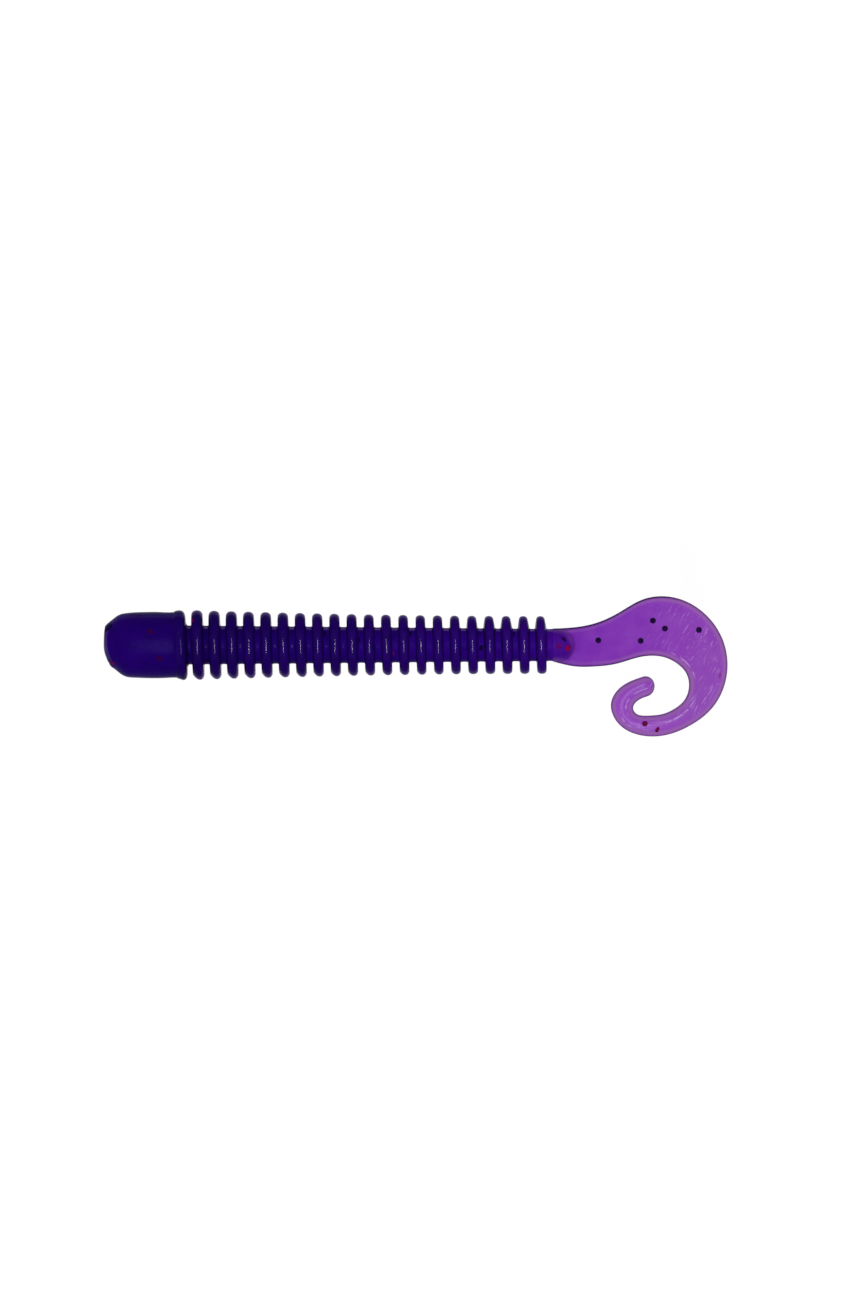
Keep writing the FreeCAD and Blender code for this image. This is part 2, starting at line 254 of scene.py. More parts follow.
def smooth_line(points, steps):
    """A natural cubic spline through the points, with `steps` samples to each stretch."""
    points = np.asarray(points, float)
    count = len(points)
    gaps = np.linalg.norm(np.diff(points, axis=0), axis=1)
    matrix = np.eye(count)
    right = np.zeros_like(points)
    for i in range(1, count - 1):
        matrix[i, i - 1] = gaps[i - 1]
        matrix[i, i] = 2 * (gaps[i - 1] + gaps[i])
        matrix[i, i + 1] = gaps[i]
        after = (points[i + 1] - points[i]) / gaps[i]
        before = (points[i] - points[i - 1]) / gaps[i - 1]
        right[i] = 6 * (after - before)
    curvature = np.linalg.solve(matrix, right)
    samples = []
    for i in range(count - 1):
        for step in range(steps):
            share = step / steps
            rest = 1 - share
            straight = rest * points[i] + share * points[i + 1]
            bow = (rest ** 3 - rest) * curvature[i] + (share ** 3 - share) * curvature[i + 1]
            samples.append(straight + gaps[i] ** 2 / 6 * bow)
    samples.append(points[-1])
    return np.array(samples)


def smoothstep(low, high, value):
    """0 below low, 1 above high and a smooth step between them."""
    share = np.clip((value - low) / (high - low), 0, 1)
    return share * share * (3 - 2 * share)


def bell(value, middle, width):
    """1 in the middle, fading out on both sides of it."""
    return np.exp(-((value - middle) / width) ** 2)


def window(low, high, value, ease=0.6):
    """1 between low and high, with eased ends."""
    start = smoothstep(low - ease, low + ease, value)
    end = smoothstep(high - ease, high + ease, value)
    return start * (1 - end)


def skin_object(name, loops, material, facts):
    """A closed tube of quads through equal loops of points in millimetres, with flat ends.
    facts holds one number for each point and attribute."""
    loops = np.asarray(loops, float)
    rows, spokes = loops.shape[:2]
    faces = []
    for row in range(rows - 1):
        for spoke in range(spokes):
            after = (spoke + 1) % spokes
            near, far = row * spokes, (row + 1) * spokes
            faces.append((near + spoke, near + after, far + after, far + spoke))
    faces.append(tuple(range(spokes - 1, -1, -1)))
    faces.append(tuple(range((rows - 1) * spokes, rows * spokes)))
    mesh = bpy.data.meshes.new(name)
    mesh.from_pydata((loops.reshape(-1, 3) * MM).tolist(), [], faces)
    mesh.validate()
    mesh.polygons.foreach_set("use_smooth", [True] * (len(faces) - 2) + [False] * 2)
    last_loop = (rows - 1) * spokes
    ends = set(range(spokes)) | set(range(last_loop, rows * spokes))
    for edge in mesh.edges:
        first, second = edge.vertices
        neighbours = abs(first - second) in (1, spokes - 1)
        if first in ends and second in ends and neighbours:
            edge.use_edge_sharp = True
    add_rest(mesh)
    for key, values in facts.items():
        layer = mesh.attributes.new(key, "FLOAT", "POINT")
        layer.data.foreach_set("value", np.asarray(values, np.float32).ravel())
    turn_out(mesh)
    piece = bpy.data.objects.new(name, mesh)
    bpy.context.scene.collection.objects.link(piece)
    mesh.materials.append(material)
    return piece


def add_rest(mesh):
    """Keep each point's place in millimetres, so that a finish stays put when it bends."""
    places = np.zeros(len(mesh.vertices) * 3, np.float32)
    mesh.vertices.foreach_get("co", places)
    layer = mesh.attributes.new("rest", "FLOAT_VECTOR", "POINT")
    layer.data.foreach_set("vector", places / MM)


def turn_out(mesh):
    """Turn all faces outwards if the closed mesh is inside out."""
    volume = 0
    for face in mesh.polygons:
        volume += face.center.dot(face.normal) * face.area
    if volume < 0:
        mesh.flip_normals()


def turned(rows, spokes, lean):
    """Loops of a lathe-turned skin from rows of (x up, height, x down, depth), which may
    differ between the +Y and the -Y side.  lean shears it."""
    angles = np.arange(spokes) * 2 * math.pi / spokes
    up = (1 + np.cos(angles)) / 2
    loops = []
    for x_up, height, x_down, depth in rows:
        radius = (height + depth) / 2
        y = (height - depth) / 2 + radius * np.cos(angles)
        x = x_up * up + x_down * (1 - up)
        x = x - lean(x) * y
        loops.append(np.stack([x, y, radius * np.sin(angles)], axis=1))
    return np.array(loops)


# ------------------------------------------------------------------------------ materials

PLASTISOL_IOR = 1.46
GLITTER_ROUGHNESS = 0.5


def colour(red, green, blue):
    """A screen colour from 0 to 255 as a linear colour."""
    channels = []
    for value in (red, green, blue):
        share = value / 255
        if share <= 0.04045:
            channels.append(share / 12.92)
        else:
            channels.append(((share + 0.055) / 1.055) ** 2.4)
    return (*channels, 1.0)


class Finish:
    """A material under construction: short calls that add and join its nodes."""

    def __init__(self, name, specular):
        self.material = bpy.data.materials.new(name)
        self.material.use_nodes = True
        self.tree = self.material.node_tree
        self.shader = self.tree.nodes["Principled BSDF"]
        self.shader.inputs["Specular IOR Level"].default_value = specular
        self.shader.inputs["IOR"].default_value = PLASTISOL_IOR

    def node(self, kind, **settings):
        """A new node with these settings."""
        added = self.tree.nodes.new(kind)
        for key, value in settings.items():
            setattr(added, key, value)
        return added

    def join(self, source, target):
        """Link an output to an input."""
        self.tree.links.new(source, target)

    def fact(self, name):
        """A number stored at each point."""
        return self.node("ShaderNodeAttribute", attribute_name=name).outputs["Fac"]

    def rest(self):
        """The point's place in millimetres before it bends."""
        return self.node("ShaderNodeAttribute", attribute_name="rest").outputs["Vector"]

    def noise(self, vector, scale, detail=2.0):
        """Soft noise, with its scale per millimetre where the vector is rest()."""
        texture = self.node("ShaderNodeTexNoise")
        texture.inputs["Scale"].default_value = scale
        texture.inputs["Detail"].default_value = detail
        self.join(vector, texture.inputs["Vector"])
        return texture.outputs["Fac"]

    def placed(self, vector, turn=0, stretch=(1, 1, 1)):
        """A vector for a pattern that is stretched, then turned about Z by some degrees."""
        laid = self.node("ShaderNodeMapping", vector_type="TEXTURE")
        laid.inputs["Rotation"].default_value = (0, 0, math.radians(turn))
        laid.inputs["Scale"].default_value = stretch
        self.join(vector, laid.inputs["Vector"])
        return laid.outputs["Vector"]

    def steps(self, value, *stops):
        """A ramp of (place, colour) stops."""
        ramp = self.node("ShaderNodeValToRGB")
        elements = ramp.color_ramp.elements
        while len(elements) < len(stops):
            elements.new(0.5)
        for element, (place, shade) in zip(elements, stops):
            element.position = place
            element.color = shade
        self.join(value, ramp.inputs["Fac"])
        return ramp.outputs["Color"]

    def span(self, value, low, high, to_low=0.0, to_high=1.0):
        """Carry a value from one range to another, held at its ends."""
        ranged = self.node("ShaderNodeMapRange")
        ranged.inputs["From Min"].default_value = low
        ranged.inputs["From Max"].default_value = high
        ranged.inputs["To Min"].default_value = to_low
        ranged.inputs["To Max"].default_value = to_high
        self.join(value, ranged.inputs["Value"])
        return ranged.outputs["Result"]

    def times(self, first, second):
        """The product of a value and another value or a plain number."""
        product = self.node("ShaderNodeMath", operation="MULTIPLY")
        self.join(first, product.inputs[0])
        if isinstance(second, (int, float)):
            product.inputs[1].default_value = second
        else:
            self.join(second, product.inputs[1])
        return product.outputs[0]

    def plus(self, first, second):
        """The sum of two values."""
        total = self.node("ShaderNodeMath", operation="ADD")
        self.join(first, total.inputs[0])
        self.join(second, total.inputs[1])
        return total.outputs[0]

    def mix(self, share, first, second):
        """Mix two colours, each linked or plain, by a linked share."""
        blend = self.node("ShaderNodeMix", data_type="RGBA")
        self.join(share, blend.inputs["Factor"])
        for socket, value in ((blend.inputs[6], first), (blend.inputs[7], second)):
            if isinstance(value, tuple):
                socket.default_value = value
            else:
                self.join(value, socket)
        return blend.outputs[2]

    def bump(self, height, strength, distance):
        """Bump from a height, with its distance in millimetres."""
        bumped = self.node("ShaderNodeBump")
        bumped.inputs["Strength"].default_value = strength
        bumped.inputs["Distance"].default_value = distance * MM
        self.join(height, bumped.inputs["Height"])
        self.join(bumped.outputs["Normal"], self.shader.inputs["Normal"])

    def paint(self, shade):
        """Use a colour as the surface's own."""
        self.join(shade, self.shader.inputs["Base Color"])


def body_plastisol():
    """Deep violet soft plastic of head, rings and core: darkest at the thick head, and
    lighter towards the tail, with pale violet painted light along rims, edges and the nose."""
    finish = Finish("body_plastisol", specular=0.008)
    rest = finish.rest()
    along = finish.node("ShaderNodeSeparateXYZ")
    finish.join(rest, along.inputs[0])
    share = finish.span(along.outputs["X"], 0.0, 47.5)
    base = finish.steps(
        share,
        (0.00, colour(33, 0, 103)),
        (0.14, colour(27, 0, 93)),
        (0.18, colour(22, 0, 79)),
        (0.45, colour(28, 0, 87)),
        (0.80, colour(37, 2, 101)),
        (0.97, colour(46, 4, 112)),
    )
    core = finish.steps(
        share,
        (0.16, colour(23, 0, 84)),
        (0.45, colour(31, 0, 104)),
        (0.80, colour(41, 2, 119)),
        (0.92, colour(46, 3, 124)),
        (0.96, colour(64, 8, 138)),
    )
    shade = finish.mix(finish.fact("core"), base, core)
    cloud = finish.noise(rest, 0.55, detail=3.0)
    shade = finish.mix(finish.span(cloud, 0.42, 0.75, 0, 0.30), shade, colour(40, 2, 112))
    deep = finish.noise(rest, 0.8, detail=2.0)
    shade = finish.mix(finish.span(deep, 0.55, 0.8, 0, 0.5), shade, colour(14, 0, 58))
    # Pale violet painted light: rim light, edge reflections and highlights, standing in for
    # light through and off the plastic.
    shade = finish.mix(finish.fact("painted_light"), shade, colour(116, 78, 168))
    finish.paint(shade)
    fine = finish.noise(rest, 3.2, detail=3.0)
    ripple = finish.noise(finish.placed(rest, stretch=(1.4, 0.6, 0.6)), 1.2, detail=1.0)
    matt = finish.span(finish.fact("polish"), 0, 1, 0.40, 0.18)
    roughness = finish.plus(matt, finish.span(fine, 0.3, 0.7, -0.04, 0.04))
    finish.join(roughness, finish.shader.inputs["Roughness"])
    finish.join(finish.fact("shine"), finish.shader.inputs["Coat Weight"])
    finish.shader.inputs["Coat Roughness"].default_value = 0.12
    finish.bump(finish.plus(finish.times(fine, 0.25), ripple), 0.35, 0.06)
    return finish.material


def tail_plastisol():
    """The same plastic in the thinner tail: light violet, paler round the curl, with painted
    shade on its edge walls, a pinkish band of painted light inside them, fine slanting
    scratches with painted highlights on them, and painted highlight streaks."""
    finish = Finish("tail_plastisol", specular=0.015)
    rest = finish.rest()
    path = finish.span(finish.fact("path"), 0.0, 16.0)
    base = finish.steps(
        path,
        (0.00, colour(100, 28, 156)),
        (0.10, colour(117, 40, 168)),
        (0.22, colour(123, 46, 171)),
        (0.34, colour(133, 58, 174)),
        (0.46, colour(137, 67, 173)),
        (0.58, colour(140, 73, 176)),
        (0.68, colour(139, 63, 178)),
        (0.86, colour(145, 69, 185)),
        (1.00, colour(139, 67, 180)),
    )
    cloud = finish.noise(rest, 0.5, detail=3.0)
    shade = finish.mix(finish.span(cloud, 0.4, 0.75, 0, 0.3), base, colour(152, 84, 190))
    # A pinkish band of painted light along the rounded edges.
    bead = finish.times(finish.fact("bead"), finish.span(path, 0.1, 0.35, 0.30, 0.85))
    shade = finish.mix(bead, shade, colour(150, 100, 166))
    # Fine slanting scratches: real relief in the bump below, with a pale painted highlight on
    # them.
    grain = finish.placed(rest, turn=60, stretch=(0.80, 0.13, 1.0))
    scratch = finish.noise(grain, 1.0, detail=1.5)
    patch = finish.noise(rest, 0.6, detail=1.0)
    scratches_and_glints = finish.times(finish.span(scratch, 0.57, 0.64), finish.span(patch, 0.36, 0.56))
    scratches_and_glints = finish.times(scratches_and_glints, finish.fact("wear_and_glint"))
    shade = finish.mix(finish.times(scratches_and_glints, 0.42), shade, colour(186, 138, 212))
    # Painted highlight streaks, broken up by noise.
    ragged = finish.noise(rest, 2.2, detail=2.0)
    highlight_streak = finish.times(finish.fact("highlight_streak"), finish.span(ragged, 0.40, 0.56))
    shade = finish.mix(finish.times(highlight_streak, 0.65), shade, colour(206, 170, 224))
    shade = finish.mix(finish.fact("core"), shade, colour(68, 11, 136))
    # Painted shade: dark edge walls, turned away from the overhead light.
    shade = finish.mix(finish.fact("wall"), shade, colour(84, 34, 116))
    # Darker painted shade along the neck's edges.
    shade = finish.mix(finish.fact("neck_edge_shade"), shade, colour(44, 4, 86))
    finish.paint(shade)
    fine = finish.noise(rest, 3.0, detail=3.0)
    roughness = finish.span(fine, 0.3, 0.7, 0.36, 0.48)
    finish.join(roughness, finish.shader.inputs["Roughness"])
    finish.join(finish.fact("gloss"), finish.shader.inputs["Coat Weight"])
    finish.shader.inputs["Coat Roughness"].default_value = 0.14
    wave = finish.noise(rest, 0.9, detail=2.0)
    height = finish.plus(finish.plus(finish.times(fine, 0.2), wave), finish.times(scratches_and_glints, 0.5))
    finish.bump(height, 0.5, 0.06)
    return finish.material


def glitter(name, shade, other_shade):
    """A glitter flake seen through a film of plastic."""
    finish = Finish(name, specular=0.01)
    finish.shader.inputs["Roughness"].default_value = GLITTER_ROUGHNESS
    grain = finish.noise(finish.rest(), 2.4, detail=2.0)
    finish.paint(finish.mix(finish.span(grain, 0.35, 0.65), shade, other_shade))
    finish.bump(grain, 0.2, 0.02)
    return finish.material


BODY = body_plastisol()
TAIL = tail_plastisol()
BLACK_GLITTER = glitter("black_glitter", colour(20, 6, 44), colour(36, 12, 66))
RED_GLITTER = glitter("red_glitter", colour(150, 8, 70), colour(112, 4, 66))
DARK_RED_GLITTER = glitter("dark_red_glitter", colour(104, 8, 62), colour(84, 8, 66))
DULL_RED_GLITTER = glitter("dull_red_glitter", colour(42, 0, 68), colour(50, 0, 60))
WINE_GLITTER = glitter("wine_glitter", colour(92, 6, 96), colour(80, 4, 100))
DULL_BLACK_GLITTER = glitter("dull_black_glitter", colour(12, 0, 44), colour(16, 0, 52))
FAINT_GLITTER = glitter("faint_glitter", colour(132, 56, 140), colour(124, 60, 150))


# ------------------------------------------------------------------- head, rings and webs

def up_facing(angles):
    """1 along the top and the underside of a round skin, where it can mirror a lamp."""
    return smoothstep(0.82, 0.95, np.abs(np.sin(angles)))


def head_rows():
    """The head's profile from nose to collar."""
    rows = np.concatenate([
        smooth_line(NOSE_FACE, 5),
        smooth_line(SHOULDER, 6),
        smooth_line(COLLAR, 5),
    ])
    rows[0] = (rows[0][0], NOSE_TOP_RADIUS, rows[0][2], NOSE_TOP_RADIUS)
    return rows


def make_head():
    """Bullet head with a slanted nose cut and a flared, leaning collar."""
    rows = head_rows()

    def lean(x):
        return COLLAR_LEAN * smoothstep(COLLAR_LEAN_START, COLLAR_LEAN_FULL, x)

    loops = turned(rows, HEAD_SPOKES, lean)
    x = loops[:, :, 0]
    angles = np.arange(HEAD_SPOKES) * 2 * math.pi / HEAD_SPOKES
    radius = (rows[:, 1] + rows[:, 3])[:, None] / 2
    nose = 1 - smoothstep(*NOSE_FACE_EDGE, radius)
    y = loops[:, :, 1]
    line_x = NOSE_LINE[0] + NOSE_LINE[1] * y + NOSE_LINE[2] * y ** 2
    # Painted highlight along the nose's rounded rim.
    nose_line = bell(x, line_x, NOSE_LINE_WIDTH) * (1 - smoothstep(*NOSE_LINE_FADE, np.abs(y)))
    collar_crest = smoothstep(*COLLAR_CREST[:2], x) * (1 - smoothstep(*COLLAR_CREST[2:], x))
    # Painted light: a pale line along the -Y edge and a fainter one near the +Y edge.
    low_edge = smoothstep(0.95, 0.995, -np.cos(angles))
    high_edge = bell(np.cos(angles), 0.86, 0.035)
    painted_light = 0.05 * nose + 0.30 * nose_line + 0.35 * low_edge + 0.08 * high_edge
    facts = {
        "painted_light": painted_light,
        "core": x * 0,
        "polish": 0.45 + 0.55 * smoothstep(7.2, 7.6, x),
        "shine": 0.20 * collar_crest * up_facing(angles),
    }
    piece = skin_object("head_skin", loops, BODY, facts)
    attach(piece, "head")
    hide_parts("head")


def body_of_ring(number):
    """The body that holds a ring: the first ring is part of the stiff head."""
    return "head" if number == 1 else f"ring_{number:02d}"


def ring_facts(number):
    """Middle, radius and thickness of a ring, in millimetres."""
    low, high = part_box(f"ring_{number:02d}")
    return (low.x + high.x) / 2 / MM, high.z / MM, (high.x - low.x) / MM


def web_facts(number):
    """Start, end and radius of a web, in millimetres."""
    low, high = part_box(f"web_{number:02d}")
    return low.x / MM, high.x / MM, high.z / MM


def ring_rows():
    """A ring's profile from one foot over the rim to the other: which side of the ring,
    how far out along the foot's fillet, up the flank and round the rim, each 0 to 1."""
    rows = []
    for step in range(FOOT_STEPS + 1):
        rows.append((-1, step / FOOT_STEPS, 0.0, 0.0))
    for step in range(1, FLANK_STEPS + 1):
        rows.append((-1, 1.0, step / FLANK_STEPS, 0.0))
    for step in range(1, RIM_STEPS):
        rows.append((-1, 1.0, 1.0, step / RIM_STEPS))
    back = [(1, fillet, flank, rim) for _, fillet, flank, rim in reversed(rows)]
    return rows + [(0, 1.0, 1.0, 1.0)] + back


def make_ring(number):
    """One ring, leaning, with its rim drawn to a blunt point on the -Y side."""
    middle, radius, thickness = ring_facts(number)
    core_radius = web_facts(number)[2]
    angles = np.arange(RING_SPOKES) * 2 * math.pi / RING_SPOKES
    up = (1 + np.cos(angles)) / 2
    late = smoothstep(*LATE_RINGS, number)

    def share_of(early, last):
        goal = last[0] * up + last[1] * (1 - up)
        return (early + (goal - early) * late) * thickness

    foot_half = share_of(FOOT_SHARE, FOOT_SHARE_LATE)
    rim_half = share_of(RIM_SHARE, RIM_SHARE_LATE)
    rim_height = RIM_HEIGHT_SHARE * thickness
    square = RIM_SQUARENESS + (RIM_SQUARENESS_LATE - RIM_SQUARENESS) * late
    pointed = max(0.0, 1 - (number - 1) / LAST_POINTED_RING) ** 0.5
    point = np.maximum(0, -np.cos(angles)) ** RIM_POINT_NARROWNESS * RIM_POINT * pointed
    side_edge = smoothstep(0.85, 0.99, np.abs(np.cos(angles)))
    low_side = smoothstep(0.55, 0.9, -np.cos(angles))
    loops, painted_light, core, shine = [], [], [], []
    for side, fillet, flank, rim in ring_rows():
        swell = RING_FOOT * (1 - math.sin(math.pi / 2 * fillet))
        low = core_radius - FOOT_SINK + RING_FOOT * (1 - math.cos(math.pi / 2 * fillet))
        turn = math.pi / 2 * rim
        round_share = math.cos(turn) ** (2 / square) if rim < 1 else 0.0
        flank_half = foot_half + (rim_half - foot_half) * flank ** FLANK_HOLLOW
        half = flank_half * round_share + swell
        rise = low + (radius - rim_height - low) * flank
        rise = rise + rim_height * math.sin(turn) ** (2 / square + point) * (rim > 0)
        shift = RIM_POINT_SHIFT * thickness * point * rim
        x = middle + side * half + shift - RING_LEAN * rise * np.cos(angles)
        loops.append(np.stack([x, rise * np.cos(angles), rise * np.sin(angles)], axis=1))
        # Painted light: a paler rim with a pale line just inside it at the ±Y tips, and a pale
        # band on the far flank of the -Y tips.
        tip_line = bell(rim, 0.45, 0.22)
        far_flank = (side > 0) * flank * (1 - smoothstep(0.35, 0.65, rim))
        tip = 0.30 * smoothstep(0.0, 0.4, rim) + 0.50 * tip_line
        painted_light.append(tip * side_edge + 0.45 * pointed * far_flank * low_side)
        core.append(np.full(RING_SPOKES, 0.3 * (1 - smoothstep(0.0, 0.12, flank))))
        shine.append(0.22 * smoothstep(0.55, 0.85, rim) * up_facing(angles))
    polish = np.ones_like(painted_light)
    facts = {"painted_light": painted_light, "core": core, "polish": polish, "shine": shine}
    piece = skin_object(f"ring_skin_{number:02d}", loops, BODY, facts)
    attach(piece, body_of_ring(number))
    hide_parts(f"ring_{number:02d}")


def bend(piece):
    """Bake a skin's place into its mesh; skins in TURNED_BLENDS are baked the same way."""
    if piece.name in TURNED_BLENDS:
        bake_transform(piece)
    else:
        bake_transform(piece)


def make_web(number):
    """The stretch of core in front of a ring; the first is held by the head."""
    start, end, radius = web_facts(number)
    angles = np.arange(WEB_SPOKES) * 2 * math.pi / WEB_SPOKES
    loops = []
    for step in range(WEB_STEPS + 1):
        share = step / WEB_STEPS
        waist = radius - WEB_WAIST * math.sin(math.pi * share)
        x = start - WEB_SINK + (end - start + 2 * WEB_SINK) * share
        x = x - RING_LEAN * waist * np.cos(angles)
        loops.append(np.stack([x, waist * np.cos(angles), waist * np.sin(angles)], axis=1))
    shares = np.arange(WEB_STEPS + 1)[:, None] / WEB_STEPS
    middle = smoothstep(0.08, 0.40, shares) * smoothstep(0.08, 0.40, 1 - shares)
    core = 0.85 + 0.15 * middle + 0 * angles
    # Painted reflection of the white surround: a pale band just under each web's +Y edge and a
    # fainter one at its -Y edge.
    bright = bell(np.cos(angles), 0.895, 0.045)
    low = smoothstep(0.94, 0.99, -np.cos(angles))
    painted_light = core * (bright + 0.2 * low)
    glint = bell(np.cos(angles), -0.08, 0.03) * up_facing(angles)
    glint = glint * bell(shares, 0.58, 0.14)
    shine = 0.08 * (1 - smoothstep(*GLINT_WEBS, number)) * glint
    facts = {"painted_light": painted_light, "core": core, "polish": 0 * core, "shine": shine}
    piece = skin_object(f"web_skin_{number:02d}", loops, BODY, facts)
    if number == 1:
        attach(piece, "head")
    else:
        bend(piece)
    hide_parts(f"web_{number:02d}")


# ------------------------------------------------------------------------------------ tail

def tail_origin():
    """X of the tail root's front face, in millimetres."""
    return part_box("tail_root")[0].x / MM


def tail_edge(side):
    """Places along one edge of the tail, TAIL_STEPS to each rib interval."""
    points = []
    for rib in TAIL_RIBS:
        along, across = rib[side]
        points.append((tail_origin() + along * TAIL_REACH / 100, across * CURL_HEIGHT / 100))
    return smooth_line(points, TAIL_STEPS)


def add_tip(outer, inner):
    """Close the tail in a round tip beyond its last rib."""
    middle = (outer[-1] + inner[-1]) / 2
    half = (outer[-1] - inner[-1]) / 2
    before = (outer[-2] + inner[-2]) / 2
    ahead = (middle - before) / np.linalg.norm(middle - before)
    outer, inner = list(outer), list(inner)
    for step in range(1, TIP_STEPS + 1):
        angle = math.pi / 2 * step / TIP_STEPS
        wide = max(math.cos(angle), TIP_LEAST)
        place = middle + ahead * TIP_LENGTH * math.sin(angle)
        outer.append(place + half * wide)
        inner.append(place - half * wide)
    return np.array(outer), np.array(inner)


def core_height(place, across, radius):
    """Half height of the core inside the tail root, which ends in a dome."""
    past = np.clip((place - tail_origin() - ROOT_CORE_LENGTH) / ROOT_DOME_LENGTH, 0, 1)
    reach = radius * np.sqrt(np.clip(1 - past ** 2, 0, 1))
    return np.sqrt(np.clip(reach ** 2 - across ** 2, 0, None))


def plate_height(edge_distance, width, tip_share):
    """Half height of the tail at a distance from its nearer edge."""
    rounded = np.sqrt(1 - (1 - np.clip(edge_distance / EDGE_ROUNDING, 0, 1)) ** 2)
    bead = (BEAD_HEIGHT - PLATE_HEIGHT) * bell(edge_distance, BEAD_PLACE, BEAD_WIDTH)
    plate = rounded * (PLATE_HEIGHT + bead)
    share = np.clip(2 * edge_distance / width, 0, 1)
    inner_power, outer_power = ROD_ROUNDNESS
    rod = ROD_HEIGHT * (1 - (1 - share) ** inner_power) ** outer_power
    blend = smoothstep(ROD_WIDTH, PLATE_WIDTH, width)
    return (plate * blend + rod * (1 - blend)) * tip_share


def tail_sections():
    """Every cross-section of the tail: its rib number, its points, their heights, their
    distances from the inner and the outer edge, and how far the core darkens them."""
    outer, inner = add_tip(tail_edge(0), tail_edge(1))
    core_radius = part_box("web_22")[1].z / MM
    turn = np.arange(TAIL_ACROSS + 1) * math.pi / TAIL_ACROSS
    across = (1 - np.cos(turn)) / 2
    last = len(TAIL_RIBS) - 1
    sections = []
    for number, (start, end) in enumerate(zip(inner, outer)):
        rib = min(number / TAIL_STEPS, last)
        beyond = max(0, number - last * TAIL_STEPS) / TIP_STEPS
        tip_share = max(math.cos(math.pi / 2 * beyond), TIP_LEAST) ** TIP_TAPER
        width = np.linalg.norm(end - start)
        distance = np.minimum(across, 1 - across) * width
        places = start + (end - start) * across[:, None]
        if beyond > 0:
            distance = distance * ROD_WIDTH / width
            height = plate_height(distance, ROD_WIDTH, tip_share)
        else:
            height = plate_height(distance, width, tip_share)
        core = core_height(places[:, 0], places[:, 1], core_radius)
        if number < ROOT_RIBS * TAIL_STEPS:
            front = 1 - smoothstep(0.0, ROOT_FRONT_RIBS * TAIL_STEPS, number)
            circle = np.sqrt(np.clip(core_radius ** 2 - places[:, 1] ** 2, 0, None))
            height = height * (1 - front) + np.minimum(height, circle) * front
            height = soft_max(height, core, ROOT_EASE)
        height[0] = height[-1] = 0
        edges = (across * width, (1 - across) * width)
        sections.append((rib, places, height, *edges, core_share(places, core_radius)))
    return sections


def core_share(places, core_radius):
    """1 where the root's core darkens the tail, fading out round its slanted end."""
    along = places[:, 0] - tail_origin() + CORE_END_SLANT * places[:, 1]
    past = np.clip((along - ROOT_CORE_LENGTH) / CORE_FADE_LENGTH, 0, None)
    off = np.hypot(past, places[:, 1] / core_radius)
    return 1 - smoothstep(0.60, 1.15, off)


def soft_max(first, second, ease):
    """The larger of two heights, with an eased corner where they meet."""
    share = np.clip(0.5 + (second - first) / (2 * ease), 0, 1)
    high = first * (1 - share) + second * share + ease * share * (1 - share)
    return np.where(np.minimum(first, second) <= 0, np.maximum(first, second), high)


def tail_loop(places, height):
    """One closed loop: over the top from the inner to the outer edge and back underneath."""
    top = np.column_stack([places, height])
    under = np.column_stack([places, -height])[-2:0:-1]
    return np.concatenate([top, under])


def tail_facts(section):
    """The finish's facts for one loop."""
    rib, _, _, from_inner, from_outer, core = section
    nearest = np.minimum(from_inner, from_outer)
    # Painted shade along both edges, weaker after the sixth rib.
    wall_strength = 0.80 - 0.30 * smoothstep(6.0, 9.0, rib)
    wall = wall_strength * (1 - smoothstep(0.03, 0.14, nearest))
    # Painted shade along the neck: strong at the outer edge, fainter at the inner.
    high_neck = window(-1, 5.0, rib) * (1 - smoothstep(0.04, 0.26, from_outer))
    low_neck = window(-1, 4.5, rib) * (1 - smoothstep(0.02, 0.20, from_inner)) * 0.6
    # Painted highlight streaks, each a band at a distance from the inner edge over some ribs.
    highlight_streak = 0 * nearest
    for low, high, place, wide in HIGHLIGHT_STREAKS:
        highlight_streak = highlight_streak + window(low, high, rib) * bell(from_inner, place, wide)
    # Where the scratches and their painted highlight lie: over the fan and bow, away from the
    # edges.
    wear_and_glint = window(4.8, 10.0, rib, 1.2) * smoothstep(0.35, 0.7, nearest)
    facts = {
        "path": rib + 0 * nearest,
        # Pinkish painted light along the rounded edges.
        "bead": bell(nearest, 0.30, 0.21),
        "wall": wall,
        "neck_edge_shade": np.maximum(high_neck, low_neck),
        "wear_and_glint": wear_and_glint,
        "highlight_streak": np.clip(highlight_streak, 0, 1),
        "gloss": 0.05 * smoothstep(9.0, 11.0, rib) + 0 * nearest,
        "core": core,
    }
    return {key: np.concatenate([row, row[-2:0:-1]]) for key, row in facts.items()}


def make_tail():
    """The flat tail in one smooth sheet of sections, cut into one stretch for each joint."""
    sections = tail_sections()
    for skin, (reach_before, reach_after, turn) in zip(TAIL_SKINS, TAIL_BENDS):
        name, first, last, body, next_body, nodes = skin
        start = round(first * TAIL_STEPS)
        end = round(last * TAIL_STEPS)
        if last == len(TAIL_RIBS) - 1:
            end = len(sections) - 1
        chosen = sections[start:end + 1]
        loops = [tail_loop(section[1], section[2]) for section in chosen]
        rows = [tail_facts(section) for section in chosen]
        facts = {key: np.array([row[key] for row in rows]) for key in rows[0]}
        piece = skin_object(name, loops, TAIL, facts)
        pivot, ahead = bend_line(nodes, turn)
        bend(piece)
        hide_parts(*nodes)


def bend_line(nodes, turn):
    """Middle of the joint inside a tail skin, and the way that the tail runs there, turned
    by some degrees."""
    joint = next(j for j in frame["joints"] if j["deforming_nodes"][0]["node"] in nodes)
    pivot = Vector(joint["pos_m"])
    outer, inner = tail_edge(0), tail_edge(1)
    middles = (outer + inner) / 2
    flat = np.array(pivot.to_2d()) / MM
    nearest = int(np.argmin(np.linalg.norm(middles - flat, axis=1)))
    ahead = Vector((*(middles[nearest + 1] - middles[nearest - 1]), 0)).normalized()
    return pivot, Matrix.Rotation(math.radians(turn), 3, "Z") @ ahead


make_head()
for web_number in range(1, RING_COUNT + 2):
    make_web(web_number)
for ring_number in range(1, RING_COUNT + 1):
    make_ring(ring_number)
make_tail()


